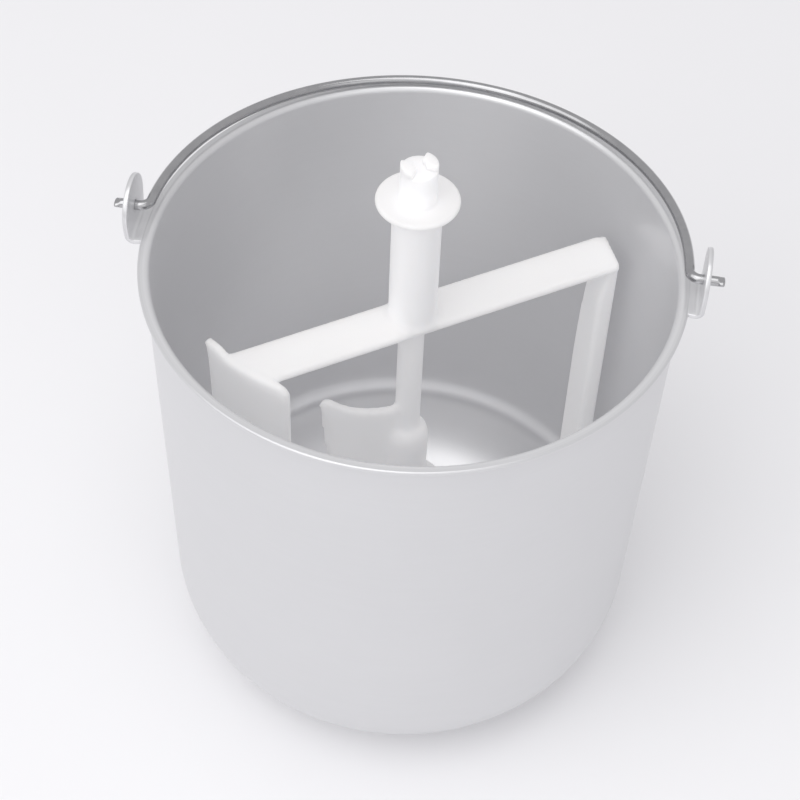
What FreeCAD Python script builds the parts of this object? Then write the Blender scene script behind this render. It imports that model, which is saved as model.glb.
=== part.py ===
import FreeCAD, Part
import math
import os

# Removable bowl of an ice cream maker, with its wire bail and its mixing paddle.
# Millimetres. +Z is up. The origin is the centre of the base, on the surface it stands on.
# X is the bail's hinge axis through the two ears.

# ---- Bowl: one deep-drawn sheet ----
rim_height = 168.0            # surface that it stands on to the top of the flange
wall_radius = 80.0            # outside of the wall, just under the flange
wall_draft = 2.0              # how much smaller the wall's radius is where the base corner starts
base_corner_radius = 37.0     # outside of the rounded corner between wall and base
sheet = 1.5                   # thickness of the aluminium everywhere
flange_bend_radius = 2.1      # top side of the bend between wall and flange
flange_overhang = 2.1         # how far the lip stands out from the wall
spigot_radius = 5.0           # hollow spigot drawn up in the middle of the floor
spigot_height = 7.0
spigot_root_radius = 1.5
spigot_dome_radius = 2.0

# ---- Ears: two tabs bent up from the flange ----
ear_standoff = 3.3            # lip edge to the middle of the upright plate
ear_bend_radius = 1.5         # inside of the bend
ear_foot_half_width = 8.0
ear_head_radius = 9.6
ear_hole_rise = 6.8           # top of the flange to the hinge axis

# ---- Bail: one bent wire ----
wire_diameter = 3.0
wire_fit = 0.08               # radial running clearance of the wire in the ear holes
rest_gap = 0.3                # air under the wire where it lies back on the flange
bail_inset = 1.6              # lip edge to the wire's centre line
wire_bend_radius = 3.2        # centre line of the outward bend at each end
wire_tail = 4.85              # wire that sticks out past the ear
tip_width = 3.9               # pinched end that keeps the wire in its hole
tip_thickness = 1.9
tip_length = 2.2

# ---- Paddle: one plastic moulding, drawn here with its crossbar along X ----
paddle_turn = 34.3            # how far the paddle stands turned from the hinge axis, degrees
socket_fit = 0.06             # radial running clearance of the foot socket on the spigot
thrust_gap = 0.3              # air between the spigot's top and the socket's end
hub_floor_gap = 1.0
hub_radius = 7.15
hub_height = 92.5             # surface that it stands on to the top of the hub's shoulder
hub_shoulder = 6.5
neck_radius = 4.1
tube_radius = 7.45
disc_radius = 12.4
disc_thickness = 1.8
disc_above_rim = 24.3         # flange to the top of the disc
post_radius = 5.5
post_height = 11.3
jaw_height = 1.9
jaw_inner_radius = 2.0
jaw_half_angle = 42.5
bar_below_rim = 23.7          # flange to the top of the crossbar
bar_width = 15.6
bar_thickness = 3.0
bar_crown = 0.4
scrape_gap = 3.0              # least gap between any limb and the inside of the bowl
arm_wall_gap = 3.5            # wall arm to the inside of the wall
arm_thickness = 6.0
arm_root_thickness = 4.2      # the arm is thinner just under the crossbar
arm_root_height = 17.0
arm_width = 15.2
arm_offset = 0.7              # middle of the arm to the middle of the crossbar
arm_slant = 2.9               # how far the arm's face leans over its width
arm_waist = 5.0               # how much narrower the arm starts under the crossbar
arm_waist_height = 55.0
arm_foot_thickness = 4.0
blade_thickness = 2.8
blade_wall_gap = 14.3         # outer blade's wide end to the wall
blade_sweep = 14.1            # how much nearer the axis its other end is
blade_lead = 14.2             # crossbar's middle to the end nearer the axis
blade_trail = 11.6            # crossbar's middle to the end nearer the wall
blade_bow = 1.4               # outward bow of the blade between its ends
blade_rise = 0.3              # top edge of the blade above the crossbar's crown
horn_rise = 2.0               # corner of the blade that stands above the crossbar
horn_reach = 2.6              # how far that corner stands out past the blade's end
horn_radius = 0.8
flare_depth = 16.0            # height over which the blade's and the wings' corners flare out
blade_corner_radius = 4.5
wing_thickness = 3.0
wing_reach = 22.6             # axis to the wing's tip, along the crossbar
wing_sweep = 9.6              # tip's offset across the crossbar
wing_bow = 2.6
high_wing_height = 102.5      # surface that it stands on to the top of each wing
low_wing_height = 70.0
low_wing_drop = 24.0          # fall of the low wing's top edge out to its tip
wing_flare = 2.6              # how far the wing's top corner stands out past its tip
wing_corner_radius = 2.4

# ---- Edges that are broken by a radius ----
moulded_edge = 0.8
socket_chamfer = 0.6
small_fillet = 1.2
closed_within = 1e-6          # an outline's ends count as met inside this distance

# ---- Sizes that follow from the ones above ----
inner_wall_radius = wall_radius - wall_draft - sheet
floor_top = sheet
corner_centre_radius = wall_radius - wall_draft - base_corner_radius
inner_corner_radius = base_corner_radius - sheet
lip_radius = wall_radius + flange_overhang
lip_edge_radius = sheet / 2
hinge_height = rim_height + ear_hole_rise
ear_middle = lip_radius + ear_standoff
ear_inner = ear_middle - sheet / 2
ear_outer = ear_middle + sheet / 2
wire_radius = wire_diameter / 2
bail_radius = lip_radius - bail_inset
bar_top = rim_height - bar_below_rim
bar_bottom = bar_top - bar_thickness
disc_top = rim_height + disc_above_rim
post_top = disc_top + post_height
socket_radius = spigot_radius + socket_fit
socket_top = floor_top + spigot_height + thrust_gap
hub_bottom = floor_top + hub_floor_gap
foot_bottom = floor_top + scrape_gap
arm_back = arm_width / 2 + arm_offset
arm_front = arm_back - arm_width
arm_reach = math.sqrt((inner_wall_radius - arm_wall_gap) ** 2 - arm_back ** 2)
blade_outer = inner_wall_radius - blade_wall_gap

Z_AXIS = FreeCAD.Vector(0, 0, 1)
ORIGIN = FreeCAD.Vector(0, 0, 0)


class Outline:
    """A closed outline of lines and arcs in one plane, given by a function from two numbers to a point."""

    def __init__(self, place, a, b):
        self.place = place
        self.start = place(a, b)
        self.last = self.start
        self.edges = []

    def line(self, a, b):
        point = self.place(a, b)
        self.edges.append(Part.LineSegment(self.last, point).toShape())
        self.last = point
        return self

    def arc(self, through, end):
        middle = self.place(*through)
        point = self.place(*end)
        self.edges.append(Part.Arc(self.last, middle, point).toShape())
        self.last = point
        return self

    def curve(self, *points):
        bezier = Part.BezierCurve()
        bezier.setPoles([self.last] + [self.place(*point) for point in points])
        self.edges.append(bezier.toShape())
        self.last = bezier.EndPoint
        return self

    def face(self):
        edges = list(self.edges)
        if self.last.distanceToPoint(self.start) > closed_within:
            edges.append(Part.LineSegment(self.last, self.start).toShape())
        return Part.Face(Part.Wire(edges))


def on_xz(y=0.0):
    """Places (x, z) in the plane at this y."""
    return lambda x, z: FreeCAD.Vector(x, y, z)


def on_yz(x=0.0):
    """Places (y, z) in the plane at this x."""
    return lambda y, z: FreeCAD.Vector(x, y, z)


def on_xy(z=0.0):
    """Places (x, y) in the plane at this height."""
    return lambda x, y: FreeCAD.Vector(x, y, z)


def around(centre, radius, degrees):
    """The point of a circle at an angle, as two numbers."""
    angle = math.radians(degrees)
    return centre[0] + radius * math.cos(angle), centre[1] + radius * math.sin(angle)


def turned(face):
    """The solid that a face in the XZ plane sweeps round the Z axis."""
    return face.revolve(ORIGIN, Z_AXIS, 360)


def one_solid(first, *others):
    """Fuses shapes and returns the single solid that they make."""
    fused = first.multiFuse(list(others)) if others else first
    fused = fused.removeSplitter()
    if len(fused.Solids) != 1:
        raise ValueError("the pieces don't make one solid")
    return fused.Solids[0]


def arc_about(outline, centre, radius, start_degrees, end_degrees):
    """Adds an arc about a centre, from one angle to another, to an outline that is at its start."""
    middle = (start_degrees + end_degrees) / 2
    return outline.arc(around(centre, radius, middle), around(centre, radius, end_degrees))


# ---- Bowl ----

def bowl_shell():
    """The wall, base, flange and spigot as one turned section, followed round outside first."""
    corner = (corner_centre_radius, base_corner_radius)
    bend = (wall_radius - sheet + flange_bend_radius, rim_height - flange_bend_radius)
    under_bend = flange_bend_radius - sheet
    edge = (lip_radius - lip_edge_radius, rim_height - lip_edge_radius)
    hollow_radius = spigot_radius - sheet
    hollow_root = spigot_root_radius + sheet
    hollow_top = spigot_height
    hollow_dome = spigot_dome_radius - sheet
    spigot_top = floor_top + spigot_height

    section = Outline(on_xz(), 0, hollow_top)
    section.line(hollow_radius - hollow_dome, hollow_top)
    arc_about(section, (hollow_radius - hollow_dome, hollow_top - hollow_dome), hollow_dome, 90, 0)
    section.line(hollow_radius, hollow_root)
    arc_about(section, (hollow_radius + hollow_root, hollow_root), hollow_root, 180, 270)
    section.line(corner_centre_radius, 0)
    arc_about(section, corner, base_corner_radius, 270, 360)
    section.line(wall_radius, bend[1])
    arc_about(section, bend, under_bend, 180, 90)
    section.line(edge[0], rim_height - sheet)
    arc_about(section, edge, lip_edge_radius, 270, 450)
    section.line(bend[0], rim_height)
    arc_about(section, bend, flange_bend_radius, 90, 180)
    section.line(corner_centre_radius + inner_corner_radius, base_corner_radius)
    arc_about(section, corner, inner_corner_radius, 360, 270)
    section.line(spigot_radius + spigot_root_radius, floor_top)
    arc_about(section, (spigot_radius + spigot_root_radius, floor_top + spigot_root_radius),
              spigot_root_radius, 270, 180)
    section.line(spigot_radius, spigot_top - spigot_dome_radius)
    arc_about(section, (spigot_radius - spigot_dome_radius, spigot_top - spigot_dome_radius),
              spigot_dome_radius, 0, 90)
    section.line(0, spigot_top)
    return turned(section.face())


def ear_strip():
    """The bent strip of the +X ear: out from the flange, then up."""
    start = lip_radius - flange_overhang / 2
    bend = (ear_inner - ear_bend_radius, rim_height + ear_bend_radius)
    top = hinge_height + ear_head_radius + sheet
    width = 2 * (ear_foot_half_width + sheet)
    strip = Outline(on_xz(-width / 2), start, rim_height - sheet)
    strip.line(bend[0], rim_height - sheet)
    arc_about(strip, bend, ear_bend_radius + sheet, 270, 360)
    strip.line(ear_outer, top)
    strip.line(ear_inner, top)
    strip.line(ear_inner, bend[1])
    arc_about(strip, bend, ear_bend_radius, 360, 270)
    strip.line(start, rim_height)
    return strip.face().extrude(FreeCAD.Vector(0, width, 0))


def ear_silhouette():
    """The ear seen along X: a round head on sides that run straight down to the foot."""
    foot_height = rim_height - sheet
    rise = hinge_height - foot_height
    reach = math.hypot(ear_foot_half_width, rise)
    tangent = math.degrees(math.atan2(-rise, ear_foot_half_width) + math.acos(ear_head_radius / reach))
    head = (0, hinge_height)
    outline = Outline(on_yz(wall_radius), ear_foot_half_width, foot_height)
    outline.line(*around(head, ear_head_radius, tangent))
    arc_about(outline, head, ear_head_radius, tangent, 180 - tangent)
    outline.line(-ear_foot_half_width, foot_height)
    return outline.face().extrude(FreeCAD.Vector(2 * ear_standoff + sheet + flange_overhang, 0, 0))


def ear():
    """The +X ear with its hinge hole."""
    plate = ear_strip().common(ear_silhouette())
    hole = Part.makeCylinder(wire_radius + wire_fit, 2 * ear_standoff,
                             FreeCAD.Vector(ear_middle - ear_standoff, 0, hinge_height),
                             FreeCAD.Vector(1, 0, 0))
    return plate.cut(hole)


def bowl():
    right = ear()
    left = right.mirror(ORIGIN, FreeCAD.Vector(1, 0, 0))
    return one_solid(bowl_shell(), right, left)


# ---- Bail ----

def bail_path():
    """The wire's centre line in the XY plane: a half circle with an outward bend at each end."""
    bend_x = math.sqrt((bail_radius + wire_bend_radius) ** 2 - wire_bend_radius ** 2)
    bend = (bend_x, wire_bend_radius)
    meet = math.degrees(math.atan2(bend[1], bend[0]))
    tail_end = ear_outer + wire_tail - tip_length
    path = Outline(on_xy(), tail_end, 0)
    path.line(bend_x, 0)
    arc_about(path, bend, wire_bend_radius, 270, 180 + meet)
    arc_about(path, (0, 0), bail_radius, meet, 180 - meet)
    arc_about(path, (-bend[0], bend[1]), wire_bend_radius, -meet, -90)
    path.line(-tail_end, 0)
    return Part.Wire(path.edges)


def bail_tip(side):
    """The pinched end of the wire: its round section flattens into an oval that is a little wider."""
    root = ear_outer + wire_tail - tip_length
    round_wire = Part.Circle(ORIGIN, Z_AXIS, wire_radius)
    pinched = Part.Ellipse(ORIGIN, tip_width / 2, tip_thickness / 2)
    sections = []
    for reach, outline in ((0, round_wire), (tip_length / 2, pinched), (tip_length, pinched)):
        wire = Part.Wire([outline.toShape()])
        wire.Placement = FreeCAD.Placement(
            FreeCAD.Vector(side * (root + reach), 0, 0),
            FreeCAD.Rotation(FreeCAD.Vector(0, 1, 0), FreeCAD.Vector(0, 0, 1), FreeCAD.Vector(side, 0, 0)),
        )
        sections.append(wire)
    return Part.makeLoft(sections, True, False)


def bail_handle():
    """The bail, tipped back about the hinge axis until it lies just above the flange."""
    path = bail_path()
    first = path.Vertexes[0].Point
    circle = Part.Circle(first, FreeCAD.Vector(1, 0, 0), wire_radius)
    rod = Part.Wire([circle.toShape()])
    wire = path.makePipeShell([rod], True, True)
    handle = one_solid(wire, bail_tip(1), bail_tip(-1))
    drop = ear_hole_rise - wire_radius - rest_gap
    tilt = math.degrees(math.asin(drop / bail_radius))
    handle.rotate(ORIGIN, FreeCAD.Vector(1, 0, 0), -tilt)
    handle.translate(FreeCAD.Vector(0, 0, hinge_height))
    return handle


# ---- Paddle ----

def spindle():
    """The paddle's turned parts: socket, hub, neck, tube, disc and drive post."""
    disc_edge = disc_thickness / 2
    section = Outline(on_xz(), 0, socket_top)
    section.line(socket_radius, socket_top)
    section.line(socket_radius, hub_bottom + socket_chamfer)
    section.line(socket_radius + socket_chamfer, hub_bottom)
    section.line(hub_radius - moulded_edge, hub_bottom)
    arc_about(section, (hub_radius - moulded_edge, hub_bottom + moulded_edge), moulded_edge, 270, 360)
    section.line(hub_radius, hub_height - hub_shoulder)
    section.curve((hub_radius, hub_height), (neck_radius, hub_height))
    section.line(neck_radius, bar_bottom + bar_thickness / 2)
    section.line(tube_radius + small_fillet, bar_bottom + bar_thickness / 2)
    section.line(tube_radius + small_fillet, bar_top)
    arc_about(section, (tube_radius + small_fillet, bar_top + small_fillet), small_fillet, 270, 180)
    section.line(tube_radius, disc_top - disc_thickness - moulded_edge)
    arc_about(section, (tube_radius + moulded_edge, disc_top - disc_thickness - moulded_edge),
              moulded_edge, 180, 90)
    section.line(disc_radius - disc_edge, disc_top - disc_thickness)
    arc_about(section, (disc_radius - disc_edge, disc_top - disc_edge), disc_edge, 270, 450)
    section.line(post_radius + moulded_edge, disc_top)
    arc_about(section, (post_radius + moulded_edge, disc_top + moulded_edge), moulded_edge, 270, 180)
    section.line(post_radius, post_top)
    section.line(0, post_top)
    return turned(section.face())


def jaw(middle_degrees):
    """One raised jaw of the drive coupling, a sector of a ring on top of the post."""
    centre = (0, 0)
    first = middle_degrees - jaw_half_angle
    last = middle_degrees + jaw_half_angle
    root = post_top - moulded_edge
    sector = Outline(on_xy(root), *around(centre, jaw_inner_radius, first))
    sector.line(*around(centre, post_radius, first))
    arc_about(sector, centre, post_radius, first, last)
    sector.line(*around(centre, jaw_inner_radius, last))
    arc_about(sector, centre, jaw_inner_radius, last, first)
    return sector.face().extrude(FreeCAD.Vector(0, 0, jaw_height + moulded_edge))


def crossbar():
    """The flat bar, a little crowned on top, from the outer blade to the wall arm."""
    half = bar_width / 2
    start = -blade_outer
    end = arm_reach - arm_slant - arm_root_thickness / 2
    side_top = bar_top - bar_crown - small_fillet
    section = Outline(on_yz(start), -half + moulded_edge, bar_bottom)
    section.line(half - moulded_edge, bar_bottom)
    arc_about(section, (half - moulded_edge, bar_bottom + moulded_edge), moulded_edge, 270, 360)
    section.line(half, side_top)
    arc_about(section, (half - small_fillet, side_top), small_fillet, 0, 90)
    section.arc((0, bar_top), (-half + small_fillet, side_top + small_fillet))
    arc_about(section, (-half + small_fillet, side_top), small_fillet, 90, 180)
    section.line(-half, bar_bottom + moulded_edge)
    arc_about(section, (-half + moulded_edge, bar_bottom + moulded_edge), moulded_edge, 180, 270)
    return inside_blade(section.face().extrude(FreeCAD.Vector(end - start, 0, 0)))


def sweep_room():
    """The space inside the bowl that the turning limbs may use: its inside, less the scrape gap."""
    radius = inner_wall_radius - scrape_gap
    corner = inner_corner_radius - scrape_gap
    bottom = floor_top + scrape_gap
    room = Outline(on_xz(), 0, bottom)
    room.line(radius - corner, bottom)
    arc_about(room, (radius - corner, bottom + corner), corner, 270, 360)
    room.line(radius, 2 * rim_height)
    room.line(0, 2 * rim_height)
    return turned(room.face())


def wall_arm():
    """The arm that runs down beside the wall, round the corner and in to the hub as the foot bar."""
    front_reach = arm_reach - arm_slant
    outer_arc = inner_corner_radius - arm_wall_gap
    outer_centre = (front_reach - outer_arc, foot_bottom + outer_arc)
    inner_face = front_reach - arm_thickness
    inner_arc = outer_arc - arm_thickness
    foot_top = foot_bottom + arm_foot_thickness
    inner_centre = (inner_face - inner_arc, foot_top + inner_arc)
    root_face = front_reach - arm_root_thickness
    root_start = bar_bottom - small_fillet
    root_end = bar_top - arm_root_height
    root_middle = (root_start + root_end) / 2
    top = bar_top - bar_crown
    side = Outline(on_xz(arm_front), 0, foot_bottom)
    side.line(outer_centre[0], foot_bottom)
    arc_about(side, outer_centre, outer_arc, 270, 360)
    side.line(front_reach, top - small_fillet)
    arc_about(side, (front_reach - small_fillet, top - small_fillet), small_fillet, 0, 90)
    side.line(root_face, top)
    side.line(root_face, root_start)
    side.curve((root_face, root_middle), (inner_face, root_middle), (inner_face, root_end))
    side.line(inner_face, inner_centre[1])
    arc_about(side, inner_centre, inner_arc, 360, 270)
    side.line(0, foot_top)
    arm = side.face().extrude(FreeCAD.Vector(arm_slant, arm_width, 0))

    waist = Outline(on_yz(), arm_back, bar_bottom - arm_waist_height)
    waist.curve((arm_back, bar_bottom - arm_waist_height / 2), (arm_back - arm_waist, bar_bottom))
    waist.line(arm_back + arm_waist, bar_bottom)
    waist.line(arm_back + arm_waist, bar_bottom - arm_waist_height)
    return arm.cut(waist.face().extrude(FreeCAD.Vector(2 * arm_reach, 0, 0)))


def curved_band(ends, bow, thickness, bottom, top):
    """An upright band of even thickness whose plan is an arc between two points, bowed to its left."""
    (ax, ay), (bx, by) = ends
    length = math.hypot(bx - ax, by - ay)
    left = (-(by - ay) / length, (bx - ax) / length)
    middle = ((ax + bx) / 2 + bow * left[0], (ay + by) / 2 + bow * left[1])

    def shifted(point, distance):
        return point[0] - distance * left[0], point[1] - distance * left[1]

    plan = Outline(on_xy(bottom), ax, ay)
    plan.arc(middle, (bx, by))
    plan.line(*shifted((bx, by), thickness))
    plan.arc(shifted(middle, thickness), shifted((ax, ay), thickness))
    return plan.face().extrude(FreeCAD.Vector(0, 0, top - bottom))


def blade_band(thickness):
    """The outer blade's plan as an upright band, from its outer face inwards, or outwards below zero."""
    lead = (-blade_outer + blade_sweep, -blade_lead)
    trail = (-blade_outer, blade_trail)
    slope = (trail[0] - lead[0]) / (trail[1] - lead[1])
    far_end = (trail[0] + slope * horn_reach, trail[1] + horn_reach)
    return curved_band((lead, far_end), blade_bow, thickness, 0, bar_top + 2 * horn_rise)


def inside_blade(bar):
    """A bar that runs out to the blade, with what would stand out past the blade's middle cut off."""
    middle = FreeCAD.Vector(blade_thickness / 2, 0, 0)
    return bar.cut(blade_band(-bar_width).translated(middle))


def outer_blade():
    """The ploughing blade at the crossbar's other end, with one corner raised into a horn."""
    band = blade_band(blade_thickness)
    tip_y = blade_trail + horn_reach

    half = bar_width / 2
    top = bar_top + blade_rise
    horn_top = bar_top + horn_rise
    horn_middle = tip_y - horn_radius
    side = Outline(on_yz(-2 * blade_outer), -blade_lead, foot_bottom)
    side.line(blade_trail, foot_bottom)
    side.line(blade_trail, bar_top - flare_depth)
    side.curve((blade_trail, bar_top - flare_depth / 2), (tip_y, bar_top - flare_depth / 2),
               (tip_y, horn_top - horn_radius))
    arc_about(side, (horn_middle, horn_top - horn_radius), horn_radius, 0, 90)
    side.curve((horn_middle - horn_radius, horn_top), (half, top), (half - moulded_edge, top))
    corner = (-blade_lead + blade_corner_radius, top - blade_corner_radius)
    side.line(corner[0], top)
    arc_about(side, corner, blade_corner_radius, 90, 180)
    return band.common(side.face().extrude(FreeCAD.Vector(2 * blade_outer, 0, 0)))


def foot_bar():
    """The bar on the floor's side, from the hub out to the outer blade."""
    end = blade_outer
    half = bar_width / 2
    section = Outline(on_yz(-end), -half, foot_bottom)
    section.line(half, foot_bottom)
    section.line(half, foot_bottom + arm_foot_thickness - moulded_edge)
    arc_about(section, (half - moulded_edge, foot_bottom + arm_foot_thickness - moulded_edge),
              moulded_edge, 0, 90)
    section.line(-half + moulded_edge, foot_bottom + arm_foot_thickness)
    arc_about(section, (-half + moulded_edge, foot_bottom + arm_foot_thickness - moulded_edge),
              moulded_edge, 90, 180)
    return inside_blade(section.face().extrude(FreeCAD.Vector(end, 0, 0)))


def wing(height, drop):
    """The wing on the hub's -X side: an upright curved plate whose top edge falls by drop to its tip."""
    half = wing_thickness / 2
    root = (-neck_radius, -half)
    flared_x = -wing_reach - wing_flare
    tip = (flared_x, wing_sweep + wing_flare / 2 - half)
    plate = curved_band((tip, root), -wing_bow, -wing_thickness, foot_bottom, height)
    tip_top = height - drop
    corner = (flared_x + wing_corner_radius, tip_top - wing_corner_radius)
    side = Outline(on_xz(-2 * wing_reach), 0, foot_bottom)
    side.line(-wing_reach, foot_bottom)
    side.line(-wing_reach, tip_top - flare_depth)
    side.line(flared_x, corner[1])
    arc_about(side, corner, wing_corner_radius, 180, 90)
    side.line(-hub_radius, height)
    side.line(0, height)
    window = side.face().extrude(FreeCAD.Vector(0, 4 * wing_reach, 0))
    return plate.common(window)


def paddle():
    """The whole moulding, turned to the angle that it stands at in the bowl."""
    low_wing = wing(low_wing_height, low_wing_drop)
    low_wing.rotate(ORIGIN, Z_AXIS, 180)
    socket = Part.makeCylinder(socket_radius, socket_top)
    hub_core = Part.makeCylinder(neck_radius, bar_top, ORIGIN)
    limbs = one_solid(
        crossbar(), wall_arm(), outer_blade(), foot_bar(), wing(high_wing_height, 0.0), low_wing, hub_core,
    )
    blank = one_solid(limbs.common(sweep_room()), spindle(), jaw(0), jaw(180))
    moulding = one_solid(blank.cut(socket))
    moulding.rotate(ORIGIN, Z_AXIS, paddle_turn)
    return moulding


os.makedirs("parts", exist_ok=True)
for node, shape in (("bowl", bowl()), ("bail_handle", bail_handle()), ("paddle", paddle())):
    if not shape.isValid():
        raise ValueError(node + " is not a valid solid")
    shape.exportStep("parts/" + node + ".step")
    print(node, "volume %.0f mm3" % shape.Volume, shape.BoundBox)
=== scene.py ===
import math

import bmesh
import bpy
import numpy as np
from mathutils import Matrix, Vector


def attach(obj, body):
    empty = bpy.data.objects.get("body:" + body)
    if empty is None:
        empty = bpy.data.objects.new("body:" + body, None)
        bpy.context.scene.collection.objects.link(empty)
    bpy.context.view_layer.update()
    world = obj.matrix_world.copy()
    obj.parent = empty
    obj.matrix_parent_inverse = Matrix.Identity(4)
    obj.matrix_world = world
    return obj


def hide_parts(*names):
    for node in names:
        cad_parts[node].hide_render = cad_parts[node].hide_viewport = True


# The visible skin of a removable ice cream bowl: a deep-drawn shell with two ears, its wire bail and
# its moulded paddle. Sizes are in millimetres and become metres in to_mesh().
# +Z is up, the origin is the centre of the base and X is the bail's hinge axis.

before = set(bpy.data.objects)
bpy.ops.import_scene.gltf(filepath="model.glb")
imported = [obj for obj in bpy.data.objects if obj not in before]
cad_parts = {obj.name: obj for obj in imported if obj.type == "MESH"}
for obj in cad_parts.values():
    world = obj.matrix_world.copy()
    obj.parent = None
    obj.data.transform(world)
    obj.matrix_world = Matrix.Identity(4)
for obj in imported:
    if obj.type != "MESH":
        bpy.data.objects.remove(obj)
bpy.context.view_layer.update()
MM = 0.001

# ---- Bowl ----
RIM_HEIGHT = 168.0
WALL_RADIUS = 80.0
WALL_DRAFT = 2.0
BASE_CORNER = 37.0
SHEET = 1.5
FLANGE_BEND = 2.1
FLANGE_OVERHANG = 2.1
LIP_RADIUS = WALL_RADIUS + FLANGE_OVERHANG
SPIGOT_RADIUS = 5.0
SPIGOT_HEIGHT = 7.0
SPIGOT_ROOT = 1.5
SPIGOT_DOME = 2.0
RING_HEIGHT = 26.0
RING_RISE = 1.0
RING_WIDTH = 2.6

# ---- Ears ----
EAR_MIDDLE = LIP_RADIUS + 3.3
EAR_BEND = 1.5
EAR_FOOT = 8.0
EAR_HEAD = 9.6
HINGE_RISE = 6.8
HINGE_HEIGHT = RIM_HEIGHT + HINGE_RISE
HOLE_RADIUS = 1.58
SHEARED_EDGE = 0.35
HOLE_EDGE = 0.15

# ---- Bail ----
WIRE_RADIUS = 1.5
BAIL_RADIUS = 80.5
BAIL_BEND = 3.2
REST_GAP = 0.3
TAIL_END = EAR_MIDDLE + SHEET / 2 + 4.85
PINCH_LENGTH = 2.2
PINCH_WIDTH = 3.9
PINCH_THICKNESS = 1.9
TIP_ROUND = 0.5

# ---- Paddle, drawn with its crossbar along X and then turned ----
PADDLE_TURN = 34.3
FLOOR_TOP = SHEET
FOOT_BOTTOM = FLOOR_TOP + 3.0
FOOT_THICKNESS = 4.0
FOOT_EDGE = 1.0
BAR_TOP = RIM_HEIGHT - 23.7
BAR_THICKNESS = 3.0
BAR_BOTTOM = BAR_TOP - BAR_THICKNESS
BAR_WIDTH = 15.6
BAR_CROWN = 0.4
INNER_WALL = WALL_RADIUS - WALL_DRAFT - SHEET
ARM_GAP = 3.5
ARM_WIDTH = 15.2
ARM_BACK = ARM_WIDTH / 2 + 0.7
ARM_FRONT = ARM_BACK - ARM_WIDTH
ARM_SLANT = 2.9
ARM_THICKNESS = 6.0
ARM_ROOT_THICKNESS = 4.2
ARM_ROOT_HEIGHT = 17.0
ARM_WAIST = 5.0
ARM_WAIST_HEIGHT = 55.0
LIMB_EDGE = 1.1
BLADE_OUTER = INNER_WALL - 14.3
BLADE_SWEEP = 14.1
BLADE_LEAD = 14.2
BLADE_TRAIL = 11.6
BLADE_BOW = 1.4
BLADE_THICKNESS = 2.8
BLADE_CORNER = 4.5
BLADE_FOOT_GAP = 2.5
BLADE_RISE = 0.3
HORN_RISE = 2.0
HORN_REACH = 2.6
HORN_START = 8.0
HORN_RUN = 4.5
FLARE_DEPTH = 16.0
WING_THICKNESS = 3.0
WING_REACH = 22.6
WING_SWEEP = 9.6
WING_BOW = 2.6
WING_FLARE = 4.0
WING_CURL = 2.2
CURL_START = 8.0
CURL_RUN = 6.0
WING_CORNER = 2.4
HIGH_WING_TOP = 102.5
LOW_WING_TOP = 70.0
LOW_WING_DROP = 24.0
HUB_RADIUS = 7.15
HUB_TOP = 92.5
HUB_SHOULDER = 6.5
NECK_RADIUS = 4.1
TUBE_RADIUS = 7.45
DISC_RADIUS = 12.4
DISC_THICKNESS = 1.8
DISC_TOP = RIM_HEIGHT + 24.3
POST_RADIUS = 5.5
POST_HEIGHT = 11.3
JAW_HEIGHT = 1.9
JAW_INNER = 2.0
JAW_HALF_ANGLE = 42.5
JAW_EDGE = 0.45
JAW_ROOT = 1.0
SOCKET_RADIUS = 5.06
SOCKET_TOP = 8.8
HUB_BOTTOM = 2.5
SOCKET_CHAMFER = 0.6
FILLET = 1.2
MOULDED_EDGE = 0.8


# ---- Surfaces ----

def to_mesh(name, grids):
    """One mesh from grids of points. Each is points[u, v] closed both ways round, or with its first and
    last rows at one point each. Quads join neighbours, and points that coincide become one."""
    mesh = bpy.data.meshes.new(name)
    corners, quads, start = [], [], 0
    for points, wrap_u in grids:
        rows, columns = points.shape[:2]
        index = np.arange(rows * columns).reshape(rows, columns) + start
        lower = index if wrap_u else index[:-1]
        upper = np.roll(index, -1, axis=0) if wrap_u else index[1:]
        next_lower, next_upper = np.roll(lower, -1, axis=1), np.roll(upper, -1, axis=1)
        quads.append(np.stack([lower, upper, next_upper, next_lower], -1).reshape(-1, 4))
        corners.append(points.reshape(-1, 3))
        start += rows * columns
    mesh.from_pydata(np.concatenate(corners) * MM, [], np.concatenate(quads))
    shell = bmesh.new()
    shell.from_mesh(mesh)
    bmesh.ops.remove_doubles(shell, verts=shell.verts, dist=1e-7)
    bmesh.ops.recalc_face_normals(shell, faces=shell.faces)
    if shell.calc_volume(signed=True) < 0:
        bmesh.ops.reverse_faces(shell, faces=shell.faces)
    shell.to_mesh(mesh)
    shell.free()
    mesh.polygons.foreach_set("use_smooth", np.ones(len(mesh.polygons), bool))
    piece = bpy.data.objects.new(name, mesh)
    bpy.context.scene.collection.objects.link(piece)
    return piece


class Outline:
    """A plane outline sampled as lines and arcs. A line keeps points close to its ends, so that smooth
    shading stays inside the rounds that it joins."""

    def __init__(self, a, b, spacing=3.0):
        self.parts = [np.array([[a, b]], float)]
        self.spacing = spacing

    def line(self, a, b):
        start, end = self.parts[-1][-1], np.array([a, b], float)
        length = np.linalg.norm(end - start)
        steps = max(2, round(length / self.spacing))
        share = np.linspace(0, 1, steps + 1)[1:-1]
        close = min(0.2 / max(length, 0.4), 0.5)
        middle = share[(share > close) & (share < 1 - close)]
        share = np.unique(np.concatenate([[close], middle, [1 - close, 1]]))
        self.parts.append(start + (end - start) * share[:, None])
        return self

    def arc(self, a, b, radius, first, last, steps=10):
        angle = np.radians(np.linspace(first, last, steps + 1))
        self.parts.append(np.stack([a + radius * np.cos(angle), b + radius * np.sin(angle)], -1))
        return self

    def points(self):
        return np.concatenate(self.parts)


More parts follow.
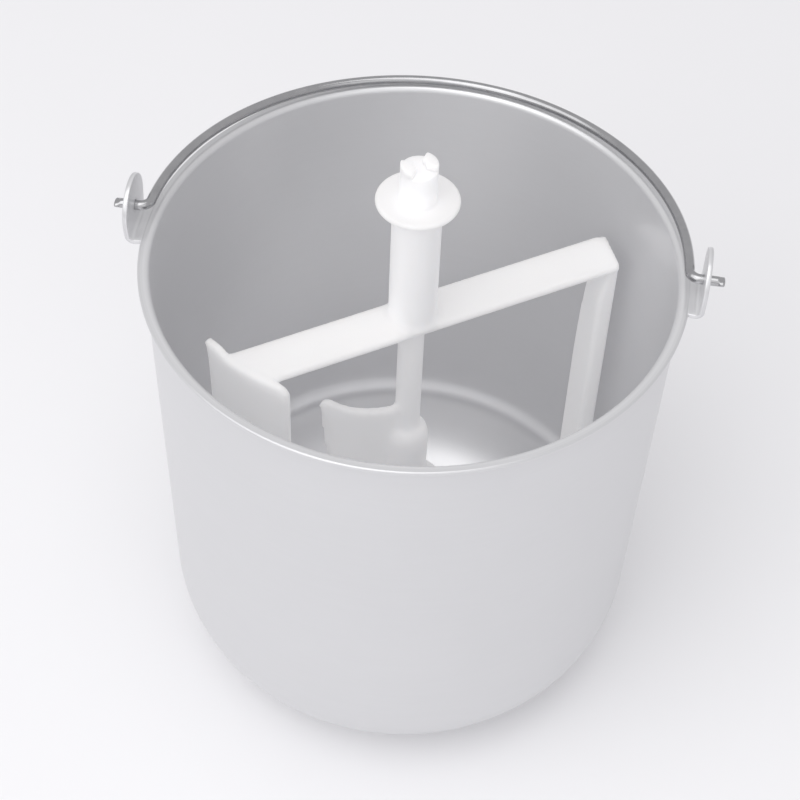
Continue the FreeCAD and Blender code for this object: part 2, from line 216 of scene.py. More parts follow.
def turned(outline, steps=256):
    """A turned piece: the outline's (radius, height) at each angle round the Z axis.
    point = (radius cos angle, radius sin angle, height)."""
    angle = np.linspace(0, 2 * math.pi, steps, endpoint=False)
    radius, height = outline[:, 0, None], outline[:, 1, None]
    return np.stack([radius * np.cos(angle), radius * np.sin(angle), height + 0 * angle], -1)


def rounded_box(half_a, half_b, radius, steps=5, flat=6):
    """Loops of a rounded rectangle: each corner is the centre of its round plus radius times the
    direction, and straight samples lie between. Sizes may be arrays with one value per station."""
    sizes = (half_a, half_b, radius)
    half_a, half_b, radius = (np.atleast_1d(np.asarray(size, float))[:, None] for size in sizes)
    radius = np.minimum(radius, np.minimum(half_a, half_b))
    loops = []
    for corner, (side_a, side_b) in enumerate(((1, 1), (-1, 1), (-1, -1), (1, -1))):
        angle = np.radians(np.linspace(90 * corner, 90 * corner + 90, steps + 1))
        a = side_a * (half_a - radius) + radius * np.cos(angle)
        b = side_b * (half_b - radius) + radius * np.sin(angle)
        loops.append(np.stack([a, b], -1))
    sides = []
    for here, after in zip(loops, loops[1:] + loops[:1]):
        share = np.linspace(0, 1, flat + 1)[1:-1][None, :, None]
        sides += [here, here[:, -1:] * (1 - share) + after[:, :1] * share]
    return np.concatenate(sides, axis=1)


def end_rounding(distance, length, radius):
    """How full a section is near the ends of its path: a quarter circle over the last radius."""
    near = np.clip(np.minimum(distance, length - distance) / radius, 0, 1)
    return np.sqrt(np.clip(1 - (1 - near) ** 2, 0, 1))


def stations(length, spacing, radius, rounds=6):
    """Distances along a path, closer together where its ends are rounded."""
    turn = radius * (1 - np.cos(np.linspace(0, math.pi / 2, rounds + 1)))
    middle = np.linspace(radius, length - radius, max(2, round((length - 2 * radius) / spacing)) + 1)
    return np.concatenate([turn[:-1], middle, (length - turn[:-1])[::-1]])


def bowl_outline():
    """The bowl's section, from under the spigot out and up to the lip, then down the inside. A low ring
    stands on the inside of the corner, left by the draw:
    rise = RING_RISE exp(-((height - RING_HEIGHT) / RING_WIDTH)^2)."""
    bottom_radius = WALL_RADIUS - WALL_DRAFT - BASE_CORNER
    bend = (WALL_RADIUS - SHEET + FLANGE_BEND, RIM_HEIGHT - FLANGE_BEND)
    hollow = SPIGOT_RADIUS - SHEET
    root = SPIGOT_ROOT + SHEET
    dome = SPIGOT_DOME - SHEET
    top = FLOOR_TOP + SPIGOT_HEIGHT
    edge = SHEET / 2
    line = Outline(0, SPIGOT_HEIGHT)
    line.line(hollow - dome, SPIGOT_HEIGHT).arc(hollow - dome, SPIGOT_HEIGHT - dome, dome, 90, 0)
    line.line(hollow, root).arc(hollow + root, root, root, 180, 270)
    line.line(bottom_radius, 0).arc(bottom_radius, BASE_CORNER, BASE_CORNER, 270, 360, 40)
    line.line(WALL_RADIUS, bend[1]).arc(bend[0], bend[1], FLANGE_BEND - SHEET, 180, 90)
    line.line(LIP_RADIUS - edge, RIM_HEIGHT - SHEET)
    line.arc(LIP_RADIUS - edge, RIM_HEIGHT - edge, edge, -90, 90, 16)
    line.line(bend[0], RIM_HEIGHT).arc(bend[0], bend[1], FLANGE_BEND, 90, 180, 16)
    line.line(bottom_radius + BASE_CORNER - SHEET, BASE_CORNER)
    line.arc(bottom_radius, BASE_CORNER, BASE_CORNER - SHEET, 0, -90, 130)
    corner = line.parts[-1]
    rise = RING_RISE * np.exp(-((corner[:, 1] - RING_HEIGHT) / RING_WIDTH) ** 2)
    corner -= (corner - (bottom_radius, BASE_CORNER)) * (rise / (BASE_CORNER - SHEET))[:, None]
    line.line(SPIGOT_RADIUS + SPIGOT_ROOT, FLOOR_TOP)
    line.arc(SPIGOT_RADIUS + SPIGOT_ROOT, FLOOR_TOP + SPIGOT_ROOT, SPIGOT_ROOT, 270, 180)
    line.line(SPIGOT_RADIUS, top - SPIGOT_DOME)
    line.arc(SPIGOT_RADIUS - SPIGOT_DOME, top - SPIGOT_DOME, SPIGOT_DOME, 0, 90)
    line.line(0, top)
    return line.points()


def bowl_shell():
    """Wall, base, flange and spigot: the section turned round the Z axis, with a pole at each end."""
    return [(turned(bowl_outline(), 240), False)]


def ear_reach(angle, foot_drop):
    """Distance from the hinge hole to the ear's edge at each angle from straight down: the round head,
    or nearer the foot the line that is tangent to it and ends at the foot's corner."""
    reach = math.hypot(EAR_FOOT, foot_drop)
    corner = math.atan2(EAR_FOOT, foot_drop)
    tangent = corner + math.acos(EAR_HEAD / reach)
    side = EAR_HEAD / np.cos(np.clip(np.abs(angle) - tangent, -1.5, 0))
    foot = foot_drop / np.cos(np.clip(angle, -1.2, 1.2))
    below = np.where(np.abs(angle) < corner, foot, side)
    return np.where(np.abs(angle) < tangent, below, EAR_HEAD)


def ear(side):
    """One ear, bent up out of the flange. Round the hole, each ray crosses the plate and comes back on
    its other face: point = (y, drop below the hinge, depth through the sheet), then the plate's drop is
    carried round the bend and in under the lip."""
    upright = HINGE_RISE - EAR_BEND
    bend = EAR_BEND + SHEET / 2
    bend_length = bend * math.pi / 2
    run_in = EAR_MIDDLE - bend - (LIP_RADIUS - SHEET / 2)
    foot_drop = upright + bend_length + run_in
    angle = np.linspace(-math.pi, math.pi, 193)[:-1]
    outer = ear_reach(angle, foot_drop)[:, None]
    half = SHEET / 2
    turn = np.radians(np.linspace(90, -90, 13))[1:-1]
    rays = np.linspace(0, 1, 9)
    face = HOLE_RADIUS + HOLE_EDGE + (outer - SHEARED_EDGE - HOLE_RADIUS - HOLE_EDGE) * rays
    rim = outer - SHEARED_EDGE + SHEARED_EDGE * np.cos(turn)
    hole = HOLE_RADIUS + 0 * outer
    reach = np.concatenate([face, rim, face[:, ::-1], hole, hole], axis=1)
    rim_depth = (half - SHEARED_EDGE) * np.sign(np.sin(turn)) + SHEARED_EDGE * np.sin(turn)
    hole_depth = [HOLE_EDGE - half, half - HOLE_EDGE]
    faces = np.full(rays.size, half)
    depth = np.concatenate([faces, rim_depth, -faces, hole_depth]) + 0 * reach
    y = reach * np.sin(angle)[:, None]
    drop = reach * np.cos(angle)[:, None]
    bent = np.clip(drop - upright, 0, bend_length) / bend
    inwards = np.clip(drop - upright - bend_length, 0, None)
    depth = depth * (1 - 0.03 * np.clip(inwards / run_in, 0, 1))
    x = EAR_MIDDLE - bend + (bend + depth) * np.cos(bent) - inwards
    z = HINGE_HEIGHT - np.minimum(drop, upright) - (bend + depth) * np.sin(bent)
    return [(np.stack([side * x, side * y, z], -1), True)]


def bail_line(spacing=1.2):
    """The wire's centre line in its own plane: tail, outward bend, half circle, bend, tail."""
    bend_x = math.sqrt((BAIL_RADIUS + BAIL_BEND) ** 2 - BAIL_BEND ** 2)
    meet = math.degrees(math.atan2(BAIL_BEND, bend_x))
    line = Outline(TAIL_END, 0, 0.4).line(bend_x, 0)
    line.arc(bend_x, BAIL_BEND, BAIL_BEND, 270, 180 + meet, 16)
    line.arc(0, 0, BAIL_RADIUS, meet, 180 - meet, round(math.pi * BAIL_RADIUS / spacing))
    line.arc(-bend_x, BAIL_BEND, BAIL_BEND, -meet, -90, 16).line(-TAIL_END, 0)
    points = line.points()
    keep = np.concatenate([[True], np.linalg.norm(np.diff(points, axis=0), axis=1) > 1e-6])
    return points[keep]


def bail_wire():
    """The bent wire: a round section carried along its line, pinched flat and rounded off at both tips.
    point = line + across cos(angle) outwards + thick sin(angle) up, tipped back about the hinge axis."""
    line = bail_line()
    steps = np.linalg.norm(np.diff(line, axis=0), axis=1)
    along = np.concatenate([[0], np.cumsum(steps)])
    way = np.gradient(line, along, axis=0)
    way /= np.linalg.norm(way, axis=1)[:, None]
    outwards = np.stack([way[:, 1], -way[:, 0]], -1)
    from_tip = np.minimum(along, along[-1] - along)
    pinch = np.clip((PINCH_LENGTH - from_tip) / (PINCH_LENGTH / 2), 0, 1)
    pinch = pinch * pinch * (3 - 2 * pinch)
    full = end_rounding(along, along[-1], TIP_ROUND)
    across = (WIRE_RADIUS + (PINCH_WIDTH / 2 - WIRE_RADIUS) * pinch) * full
    thick = (WIRE_RADIUS + (PINCH_THICKNESS / 2 - WIRE_RADIUS) * pinch) * full
    angle = np.linspace(0, 2 * math.pi, 32, endpoint=False)
    flat = line[:, None] + outwards[:, None] * (across[:, None] * np.cos(angle))[..., None]
    lift = thick[:, None] * np.sin(angle)
    tilt = -math.asin((HINGE_RISE - WIRE_RADIUS - REST_GAP) / BAIL_RADIUS)
    y = flat[..., 1] * math.cos(tilt) - lift * math.sin(tilt)
    z = flat[..., 1] * math.sin(tilt) + lift * math.cos(tilt) + HINGE_HEIGHT
    return [(np.stack([flat[..., 0], y, z], -1), False)]


def spindle():
    """Hub, neck and tube of the paddle, turned, with the socket inside the hub. The hub's shoulder is a
    parabola: (1 - t)^2 start + 2 t (1 - t) corner + t^2 end."""
    line = Outline(0, SOCKET_TOP).line(SOCKET_RADIUS, SOCKET_TOP)
    line.line(SOCKET_RADIUS, HUB_BOTTOM + SOCKET_CHAMFER)
    line.line(SOCKET_RADIUS + SOCKET_CHAMFER, HUB_BOTTOM)
    line.line(HUB_RADIUS - MOULDED_EDGE, HUB_BOTTOM)
    line.arc(HUB_RADIUS - MOULDED_EDGE, HUB_BOTTOM + MOULDED_EDGE, MOULDED_EDGE, 270, 360)
    line.line(HUB_RADIUS, HUB_TOP - HUB_SHOULDER)
    share = np.linspace(0, 1, 14)[:, None]
    start, end = np.array((HUB_RADIUS, HUB_TOP - HUB_SHOULDER)), np.array((NECK_RADIUS, HUB_TOP))
    corner = np.array((HUB_RADIUS, HUB_TOP))
    line.parts.append((1 - share) ** 2 * start + 2 * share * (1 - share) * corner + share ** 2 * end)
    line.line(NECK_RADIUS, BAR_BOTTOM - FILLET)
    line.arc(NECK_RADIUS + FILLET, BAR_BOTTOM - FILLET, FILLET, 180, 90)
    line.line(TUBE_RADIUS + FILLET, BAR_TOP - BAR_CROWN)
    line.arc(TUBE_RADIUS + FILLET, BAR_TOP + FILLET, FILLET, 270, 180)
    line.line(TUBE_RADIUS, DISC_TOP - DISC_THICKNESS / 2).line(0, DISC_TOP - DISC_THICKNESS / 2)
    return [(turned(line.points(), 144), False)]


def drive_head():
    """Disc and post of the drive head, turned, from inside the tube up to the face below the jaws."""
    edge = DISC_THICKNESS / 2
    disc_bottom = DISC_TOP - DISC_THICKNESS
    post_top = DISC_TOP + POST_HEIGHT
    round_top = 0.3
    sunk = 4.0
    line = Outline(0, disc_bottom - sunk, 1.0).line(TUBE_RADIUS, disc_bottom - sunk)
    line.line(TUBE_RADIUS, disc_bottom - MOULDED_EDGE)
    line.arc(TUBE_RADIUS + MOULDED_EDGE, disc_bottom - MOULDED_EDGE, MOULDED_EDGE, 180, 90)
    line.line(DISC_RADIUS - edge, disc_bottom)
    line.arc(DISC_RADIUS - edge, DISC_TOP - edge, edge, -90, 90, 14)
    line.line(POST_RADIUS + MOULDED_EDGE, DISC_TOP)
    line.arc(POST_RADIUS + MOULDED_EDGE, DISC_TOP + MOULDED_EDGE, MOULDED_EDGE, 270, 180)
    line.line(POST_RADIUS, post_top - round_top)
    line.arc(POST_RADIUS - round_top, post_top - round_top, round_top, 0, 90)
    line.line(0, post_top)
    return [(turned(line.points(), 192), False)]


def jaw(middle):
    """One jaw of the drive head: a rounded section carried round the post's axis through its angle."""
    low = DISC_TOP + POST_HEIGHT - JAW_ROOT
    high = DISC_TOP + POST_HEIGHT + JAW_HEIGHT
    mean = (POST_RADIUS + JAW_INNER) / 2
    length = 2 * math.radians(JAW_HALF_ANGLE) * mean
    along = stations(length, 0.5, JAW_EDGE)
    shrink = JAW_EDGE * (1 - end_rounding(along, length, JAW_EDGE))
    half_thickness, half_height = (POST_RADIUS - JAW_INNER) / 2, (high - low) / 2
    section = rounded_box(half_thickness - shrink, half_height - shrink, JAW_EDGE, 5, 4)
    angle = (math.radians(middle) + (along - length / 2) / mean)[:, None]
    radius = mean + section[..., 0]
    z = (low + high) / 2 + section[..., 1]
    return closed_ends(np.stack([radius * np.cos(angle), radius * np.sin(angle), z], -1))


def closed_ends(points):
    """Puts the middle of the first and last section at each end, so that the ends are closed."""
    first = np.repeat(points[:1].mean(axis=1, keepdims=True), points.shape[1], axis=1)
    last = np.repeat(points[-1:].mean(axis=1, keepdims=True), points.shape[1], axis=1)
    return [(np.concatenate([first, points, last]), False)]


def blade_line():
    """The outer blade's middle line in plan, from its leading end to its trailing end."""
    middle = -BLADE_OUTER + BLADE_THICKNESS / 2
    return np.array((middle + BLADE_SWEEP, -BLADE_LEAD + 0.6)), np.array((middle, BLADE_TRAIL))


def bar_from_blade(y, z, end, steps):
    """A bar of the section (y, z), carried along X from inside the slanting blade to its other end."""
    lead, trail = blade_line()
    start = np.interp(y, (lead[1], trail[1]), (lead[0], trail[0]))
    share = np.linspace(0, 1, steps)[:, None]
    x = start + (end - start) * share
    return closed_ends(np.stack([x, y + 0 * x, z + 0 * x], -1))


def crossbar():
    """The flat bar: a rounded section with a crowned top, from the blade to the wall arm."""
    end = math.sqrt((INNER_WALL - ARM_GAP) ** 2 - ARM_BACK ** 2) - ARM_SLANT - 0.3
    y, z = rounded_box(BAR_WIDTH / 2, BAR_THICKNESS / 2, LIMB_EDGE, 5, 14)[0].T
    crown = np.where(z > 0, -BAR_CROWN * (2 * y / BAR_WIDTH) ** 2, 0)
    return bar_from_blade(y, BAR_TOP - BAR_THICKNESS / 2 + z + crown, end, 90)


def wall_arm():
    """The arm down the wall, round the base corner and in to the hub. Its section is a rounded
    rectangle; the outer face leans with y, the root is thinner, and its back edge starts waisted."""
    reach = math.sqrt((INNER_WALL - ARM_GAP) ** 2 - ARM_BACK ** 2)
    face = reach - ARM_SLANT
    outer_arc = BASE_CORNER - SHEET - ARM_GAP
    top = BAR_TOP - BAR_CROWN
    line = Outline(face, top, 1.5).line(face, FOOT_BOTTOM + outer_arc)
    line.arc(face - outer_arc, FOOT_BOTTOM + outer_arc, outer_arc, 0, -90, 40).line(0, FOOT_BOTTOM)
    outer = line.points()
    way = np.gradient(outer, axis=0)
    way /= np.linalg.norm(way, axis=1)[:, None]
    inwards = np.stack([way[:, 1], -way[:, 0]], -1)
    height = outer[:, 1]
    blend = np.clip((BAR_BOTTOM - 1 - height) / (ARM_ROOT_HEIGHT - BAR_THICKNESS), 0, 1)
    blend = blend * blend * (3 - 2 * blend)
    thickness = ARM_ROOT_THICKNESS + (ARM_THICKNESS - ARM_ROOT_THICKNESS) * blend
    corner = np.clip((FOOT_BOTTOM + outer_arc - height) / outer_arc, 0, 1)
    thickness = thickness + (FOOT_THICKNESS - thickness) * corner * corner
    waist = np.clip((height - BAR_BOTTOM + ARM_WAIST_HEIGHT) / ARM_WAIST_HEIGHT, 0, 1) ** 2
    waist = np.where(height < BAR_BOTTOM, waist, np.clip((top - height) / BAR_THICKNESS, 0, 1))
    width = ARM_WIDTH - ARM_WAIST * waist
    section = rounded_box(thickness / 2, width / 2, LIMB_EDGE, 5, 8)
    inner = inwards[:, None] * (thickness[:, None] / 2 + section[..., 0])[..., None]
    plan = outer[:, None] + inner
    y = section[..., 1] + (ARM_FRONT + width / 2)[:, None]
    upright = np.clip((height - FOOT_BOTTOM) / outer_arc, 0, 1)[:, None]
    x = plan[..., 0] + ARM_SLANT * (y - ARM_FRONT) / ARM_WIDTH * upright
    return closed_ends(np.stack([x, y, plan[..., 1]], -1))


def bowed(start, end, bow, distance):
    """Plan of a plate that bows to the left of its chord by a parabola, at shares of its length."""
    start, end = np.array(start, float), np.array(end, float)
    chord = end - start
    length = np.linalg.norm(chord)
    left = np.array([-chord[1], chord[0]]) / length
    share = (distance / length)[:, None]
    point = start + chord * share + left * bow * 4 * share * (1 - share)
    way = chord / length + left * bow / length * 4 * (1 - 2 * share)
    way /= np.linalg.norm(way, axis=1)[:, None]
    return point, np.stack([-way[:, 1], way[:, 0]], -1)


def upright_plate(start, end, bow, thickness, low, high, flare, flare_top):
    """A standing plate. At each place along its bowed plan the section is a tall rounded rectangle from
    low to high (arrays or numbers), and near the top it leans along the plan by flare."""
    length = math.dist(start, end)
    along = stations(length, 1.0, MOULDED_EDGE)
    plan, left = bowed(start, end, bow, along)
    full = end_rounding(along, length, MOULDED_EDGE)
    shrink = MOULDED_EDGE * (1 - full)
    low = low(along / length) + 0 * along
    high = high(along / length) + 0 * along
    soft = MOULDED_EDGE * full + 0.02
    section = rounded_box(thickness / 2 - shrink, (high - low) / 2 - shrink, soft, 5, 60)
    flat = plan[:, None] + left[:, None] * section[..., :1]
    z = (low + high)[:, None] / 2 + section[..., 1]
    lean = np.clip((z - flare_top + FLARE_DEPTH) / FLARE_DEPTH, 0, 1) ** 1.5
    way = (np.array(end) - np.array(start)) / length
    share = (along / length)[:, None]
    flat = flat + way * (flare * lean * share ** 3)[..., None]
    return closed_ends(np.concatenate([flat, z[..., None]], -1))


def clear_of_corner(reach, gap=3.0):
    """Lowest height at a distance from the axis that keeps the gap to the base corner's inside."""
    start = WALL_RADIUS - WALL_DRAFT - BASE_CORNER
    radius = BASE_CORNER - SHEET - gap
    beyond = np.clip(reach - start, 0, radius * 0.999)
    return BASE_CORNER - np.sqrt(radius ** 2 - beyond ** 2)


def outer_blade():
    """The ploughing blade, with one upper corner raised and drawn out into a horn."""
    lead, trail = blade_line()
    length = math.dist(lead, trail)
    top = BAR_TOP + BLADE_RISE

    def high(share):
        distance = share * length
        corner = np.clip(BLADE_CORNER - distance, 0, BLADE_CORNER)
        drop = BLADE_CORNER - np.sqrt(BLADE_CORNER ** 2 - corner ** 2)
        horn = np.clip((distance - length + HORN_START) / HORN_RUN, 0, 1)
        return top - drop + HORN_RISE * horn * horn * (3 - 2 * horn)

    def low(share):
        middle = lead + (trail - lead) * share[:, None]
        return np.maximum(FOOT_BOTTOM, clear_of_corner(np.linalg.norm(middle, axis=1) + BLADE_FOOT_GAP))

    horn_top = top + HORN_RISE
    return upright_plate(lead, trail, BLADE_BOW, BLADE_THICKNESS, low, high, HORN_REACH, horn_top)


def foot_bar():
    """The bar along the floor from the hub out to the blade."""
    y, z = rounded_box(BAR_WIDTH / 2, FOOT_THICKNESS / 2, FOOT_EDGE, 5, 10)[0].T
    return bar_from_blade(y, FOOT_BOTTOM + FOOT_THICKNESS / 2 + z, 0.0, 40)


def wing(top, drop, turn):
    """A wing of the hub: a standing plate from the neck out to a swept tip, turned about the axis."""
    root, tip = (-NECK_RADIUS + 2, 0), (-WING_REACH, WING_SWEEP)
    length = math.dist(root, tip)
    hub = (HUB_RADIUS - NECK_RADIUS + 2) / length

    def high(share):
        fall = drop * np.clip((share - hub) / (1 - hub), 0, 1)
        from_tip = length * (1 - share)
        corner = np.clip(WING_CORNER - from_tip, 0, WING_CORNER)
        drawn_in = WING_CORNER - np.sqrt(WING_CORNER ** 2 - corner ** 2)
        curl = np.clip((CURL_START - from_tip) / CURL_RUN, 0, 1) ** 2
        return top - fall + WING_CURL * curl - drawn_in

    def low(share):
        return FOOT_BOTTOM

    grids = upright_plate(root, tip, WING_BOW, WING_THICKNESS, low, high, WING_FLARE, top - drop)
    return [(rotated(points, turn), wrap) for points, wrap in grids]


def rotated(points, degrees):
    """Points turned about the Z axis."""
    c, s = math.cos(math.radians(degrees)), math.sin(math.radians(degrees))
    return points @ np.array([[c, s, 0], [-s, c, 0], [0, 0, 1]])


def at_stand(grids):
    """Paddle grids turned to the angle that it stands at in the bowl."""
    return [(rotated(points, PADDLE_TURN), wrap) for points, wrap in grids]


def melt_together(piece, voxel, rounds):
    """Joins the limbs of a moulding into one skin and softens its inner and outer corners: a voxel
    remesh, then a few rounds of smoothing."""
    skin = piece.modifiers.new("one skin", "REMESH")
    skin.mode = "VOXEL"
    skin.voxel_size = voxel * MM
    skin.use_smooth_shade = True
    soften = piece.modifiers.new("moulded radii", "SMOOTH")
    soften.factor = 0.5
    soften.iterations = rounds
    graph = bpy.context.evaluated_depsgraph_get()
    mesh = bpy.data.meshes.new_from_object(piece.evaluated_get(graph))
    piece.modifiers.clear()
    piece.data = mesh
    mesh.polygons.foreach_set("use_smooth", np.ones(len(mesh.polygons), bool))
    return piece


# ---- Shader maths ----

class Link:
    """A socket's value inside a finish. Arithmetic on it adds Math nodes."""

    def __init__(self, finish, socket):
        self.finish = finish
        self.socket = socket

    def math(self, operation, first, second=0.0):
        settings, sockets = {"operation": operation}, {0: first, 1: second}
        return self.finish.node("ShaderNodeMath", settings, sockets)["Value"]

    def __add__(self, other):
        return self.math("ADD", self, other)

    def __sub__(self, other):
        return self.math("SUBTRACT", self, other)

    def __rsub__(self, other):
        return self.math("SUBTRACT", other, self)

    def __mul__(self, other):
        return self.math("MULTIPLY", self, other)

    def __pow__(self, other):
        return self.math("POWER", self, other)

    __radd__ = __add__
    __rmul__ = __mul__


class Finish:
    """A procedural finish: one Principled shader and the nodes that vary it over the surface."""

    def __init__(self, name, **constants):
        self.material = bpy.data.materials.new(name)
        self.material.use_nodes = True
        self.tree = self.material.node_tree
        self.shader = self.tree.nodes["Principled BSDF"]
        for socket, value in constants.items():
            self.shader.inputs[socket.replace("_", " ")].default_value = value

    def node(self, kind, settings, sockets):
        """Adds a node, its settings before its sockets. Returns its outputs by name."""
        made = self.tree.nodes.new(kind)
        for key, value in settings.items():
            if key == "stops":
                self.set_stops(made.color_ramp, value)
            else:
                setattr(made, key, value)
        for key, value in sockets.items():
            self.put(value, made.inputs[key])
        return {output.name: Link(self, output) for output in made.outputs}

    def put(self, value, socket):
        if isinstance(value, Link):
            self.tree.links.new(value.socket, socket)
        else:
            socket.default_value = value

    def set_stops(self, ramp, stops):
        while len(ramp.elements) < len(stops):
            ramp.elements.new(1.0)
        for element, (position, colour) in zip(ramp.elements, stops):
            element.position = position
            element.color = (*colour, 1.0)

    def varies(self, **sockets):
        for socket, value in sockets.items():
            self.put(value, self.shader.inputs[socket.replace("_", " ")])

    def place(self):
        return self.node("ShaderNodeTexCoord", {}, {})["Object"]

    def facing(self):
        return self.node("ShaderNodeTexCoord", {}, {})["Normal"]

    def axes(self, vector):
        return self.node("ShaderNodeSeparateXYZ", {}, {0: vector})

    def stretched(self, vector, scale):
        return self.node("ShaderNodeMapping", {}, {"Vector": vector, "Scale": scale})["Vector"]

    def noise(self, vector, scale, detail=3.0, roughness=0.55):
        sockets = {"Vector": vector, "Scale": scale, "Detail": detail, "Roughness": roughness}
        return self.node("ShaderNodeTexNoise", {}, sockets)["Fac"]

    def step(self, value, low, high):
        """0 below low, 1 above high, smooth between."""
        settings = {"interpolation_type": "SMOOTHSTEP"}
        sockets = {"Value": value, "From Min": low, "From Max": high}
        return self.node("ShaderNodeMapRange", settings, sockets)["Result"]

    def tint(self, amount, first, second):
        """A colour that goes from the first to the second as amount goes from 0 to 1."""
        settings = {"stops": [(0.0, first), (1.0, second)]}
        return self.node("ShaderNodeValToRGB", settings, {"Fac": amount})["Color"]

    def bump(self, height, strength, distance):
        sockets = {"Height": height, "Strength": strength, "Distance": distance * MM}
        return self.node("ShaderNodeBump", {}, sockets)["Normal"]


def satin_aluminium():
    """Etched and anodised sheet: an even fine grain, faint clouding, and a lip worn a little brighter.
    The inside, where the normal points back to the axis, is painted paler than the outside: painted
    light that brightens the interior walls, since the sheet is the same inside and out."""
    finish = Finish("satin_aluminium", Metallic=0.5, Specular_IOR_Level=0.5)
    place = finish.place()
    x, y, z = finish.axes(place).values()
    normal_x, normal_y, _ = finish.axes(finish.facing()).values()
    inside = 1.0 - finish.step(x * normal_x + y * normal_y, -0.01, 0.01)
    grain = finish.noise(place, 900, 1.0, 0.5)
    cloud = finish.noise(place, 22, 4.0, 0.6)
    draw = finish.noise(finish.stretched(place, (30, 30, 700)), 1.0, 3.0, 0.6)
    lip = finish.step(z, (RIM_HEIGHT - 1.2) * MM, (RIM_HEIGHT - 0.1) * MM)
    shade = finish.step(0.1 * grain + 0.6 * cloud + 0.3 * draw, 0.25, 0.75)
    crest = (RING_HEIGHT + 1.0) * MM
    # Painted highlight: a band round the inside at the draw ring is painted much paler, standing for the
    # bright reflection that runs round the inside of the base corner.
    ring = finish.step(z, (RING_HEIGHT - RING_WIDTH) * MM, crest)
    ring = inside * ring * (1.0 - finish.step(z, crest, (RING_HEIGHT + RING_WIDTH + 2.0) * MM))
    # Painted light: the inside is painted paler (0.28) and the draw ring paler still as a painted
    # highlight (0.66); only the cloud tone (0.06) is the sheet's own.
    pale = 0.06 * shade + 0.28 * inside + 0.66 * ring
    finish.varies(
        Base_Color=finish.tint(pale, (0.60, 0.60, 0.615), (0.97, 0.97, 0.985)),
        Roughness=0.29 + 0.04 * cloud + 0.02 * grain - 0.02 * lip,
        Normal=finish.bump(0.3 * grain + draw, 0.04, 0.02),
    )
    return finish.material


def bright_wire():
    """Drawn stainless wire: polished, with fine lines that run along it."""
    finish = Finish("bright_wire", Metallic=1.0)
    place = finish.place()
    x, y, z = finish.axes(place).values()
    radius = (x * x + y * y) ** 0.5
    sockets = {"X": radius, "Y": z, "Z": 0.02 * (x + y)}
    lengthways = finish.node("ShaderNodeCombineXYZ", {}, sockets)["Vector"]
    lines = finish.noise(lengthways, 5000, 2.0, 0.7)
    marks = finish.noise(place, 260, 3.0, 0.6)
    finish.varies(
        Base_Color=finish.tint(marks, (0.30, 0.30, 0.31), (0.44, 0.44, 0.45)),
        Roughness=0.10 + 0.10 * lines + 0.06 * marks,
        Normal=finish.bump(lines, 0.15, 0.01),
    )
    return finish.material


def milky_plastic():
    """Natural polypropylene: milky, a little translucent, with a soft moulded texture and flow marks.
    The faint emission stands for the light that soaks through the thin limbs from their far side."""
    finish = Finish("milky_plastic", IOR=1.49, Specular_IOR_Level=0.45,
                    Subsurface_Weight=1.0, Subsurface_Radius=(0.9, 0.95, 1.0), Subsurface_Scale=0.012,
                    Emission_Color=(1.0, 0.99, 1.0, 1.0), Emission_Strength=0.12)
    place = finish.place()
    texture = finish.noise(place, 1100, 2.0, 0.5)
    flow = finish.noise(finish.stretched(place, (90, 90, 26)), 1.0, 4.0, 0.6)
    finish.varies(
        Base_Color=finish.tint(finish.step(flow, 0.3, 0.7), (0.87, 0.865, 0.88), (0.90, 0.895, 0.91)),
        Roughness=0.34 + 0.10 * flow + 0.06 * texture,
        Normal=finish.bump(texture + 0.6 * flow, 0.25, 0.03),
    )
    return finish.material


# ---- Pieces ----

METAL, WIRE, PLASTIC = satin_aluminium(), bright_wire(), milky_plastic()


def fit(piece, body, material, node=None):
    """Gives a piece its finish and its body, and hides the CAD part that it stands for."""
    piece.data.materials.clear()
    piece.data.materials.append(material)
    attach(piece, body)
    if node:
        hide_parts(node)
    return piece


fit(to_mesh("bowl_shell", bowl_shell()), "bowl", METAL, "bowl")
fit(to_mesh("right_ear", ear(1)), "bowl", METAL)
fit(to_mesh("left_ear", ear(-1)), "bowl", METAL)
fit(to_mesh("bail_wire", bail_wire()), "bail", WIRE, "bail_handle")

limbs = spindle() + crossbar() + wall_arm() + outer_blade() + foot_bar()
limbs += wing(HIGH_WING_TOP, 0.0, 0) + wing(LOW_WING_TOP, LOW_WING_DROP, 180)
moulding = melt_together(to_mesh("paddle_moulding", at_stand(limbs)), 0.8, 4)
fit(moulding, "paddle", PLASTIC, "paddle")
fit(to_mesh("drive_head", at_stand(drive_head())), "paddle", PLASTIC)
for number, middle in enumerate((0, 180), 1):
    fit(to_mesh(f"drive_jaw_{number}", at_stand(jaw(middle))), "paddle", PLASTIC)


# ---- Floor, light and camera ----

def floor():
    """A plain pale floor with the faint unevenness of painted board."""
    half_size, lines = 6000.0, 9
    place = np.linspace(-half_size, half_size, lines)
    x, y = np.meshgrid(place, place, indexing="ij")
    mesh = bpy.data.meshes.new("floor")
    index = np.arange(lines * lines).reshape(lines, lines)
    quads = np.stack([index[:-1, :-1], index[1:, :-1], index[1:, 1:], index[:-1, 1:]], -1).reshape(-1, 4)
    mesh.from_pydata(np.stack([x, y, 0 * x], -1).reshape(-1, 3) * MM, [], quads)
    ground = bpy.data.objects.new("floor", mesh)
    bpy.context.scene.collection.objects.link(ground)
    paint = Finish("pale_floor", Specular_IOR_Level=0.2)
    mottle = paint.noise(paint.place(), 9, 4.0, 0.6)
    paint.varies(
        Base_Color=paint.tint(mottle, (0.905, 0.90, 0.92), (0.925, 0.92, 0.94)),
        Roughness=0.75 + 0.1 * mottle,
    )
    mesh.materials.append(paint.material)


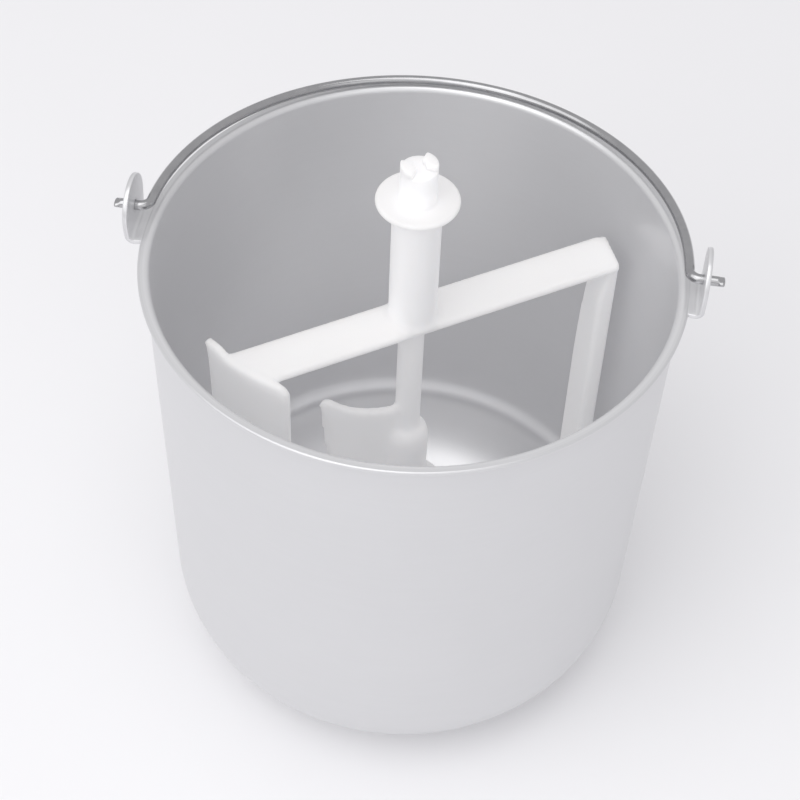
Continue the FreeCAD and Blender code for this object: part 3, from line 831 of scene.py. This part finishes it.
def softbox(name, azimuth, elevation, distance, width, height, power):
    """A large area light that looks at the bowl's middle from an azimuth and elevation."""
    a, e = math.radians(azimuth), math.radians(elevation)
    aim = Vector((0, 0, 0.09))
    back = Vector((math.sin(a) * math.cos(e), -math.cos(a) * math.cos(e), math.sin(e)))
    lamp = bpy.data.lights.new(name, "AREA")
    lamp.shape = "RECTANGLE"
    lamp.size, lamp.size_y = width, height
    lamp.energy = power
    lit = bpy.data.objects.new(name, lamp)
    turn = back.to_track_quat("Z", "Y").to_matrix().to_4x4()
    lit.matrix_world = Matrix.Translation(aim + back * distance) @ turn
    bpy.context.scene.collection.objects.link(lit)


def surroundings(strength):
    """An even white room."""
    world = bpy.data.worlds.new("white_room")
    world.use_nodes = True
    sockets = world.node_tree.nodes["Background"].inputs
    sockets["Color"].default_value = (0.985, 0.98, 1.0, 1.0)
    sockets["Strength"].default_value = strength
    bpy.context.scene.world = world


def camera():
    """Looks steeply down into the bowl, turned a little from its hinge axis."""
    azimuth, pitch = math.radians(6.7), math.radians(48.94)
    yaw, roll = math.radians(0.378), math.radians(2.555)
    distance, height = 0.39298, 0.5547
    heading = azimuth + yaw
    right = Vector((math.cos(heading), math.sin(heading), 0))
    level = Vector((-math.sin(heading), math.cos(heading), 0))
    ahead = level * math.cos(pitch) - Vector((0, 0, math.sin(pitch)))
    up = right.cross(ahead)
    across = math.cos(roll) * right + math.sin(roll) * up
    upward = -math.sin(roll) * right + math.cos(roll) * up
    turn = Matrix((across, upward, -ahead)).transposed().to_4x4()
    place = Vector((distance * math.sin(azimuth), -distance * math.cos(azimuth), height))
    lens = bpy.data.cameras.new("camera")
    lens.lens = 83.26
    lens.sensor_width = 36.0
    view = bpy.data.objects.new("camera", lens)
    view.matrix_world = Matrix.Translation(place) @ turn
    bpy.context.scene.collection.objects.link(view)
    bpy.context.scene.camera = view


floor()
surroundings(0.56)
softbox("key", -42, 50, 1.6, 1.5, 1.5, 8.5)
softbox("fill", 0, 38, 1.6, 2.4, 1.4, 6)
softbox("top", -10, 80, 1.6, 1.0, 1.0, 5)
camera()
bpy.context.scene.view_settings.view_transform = "Standard"
bpy.context.scene.view_settings.gamma = 1.3
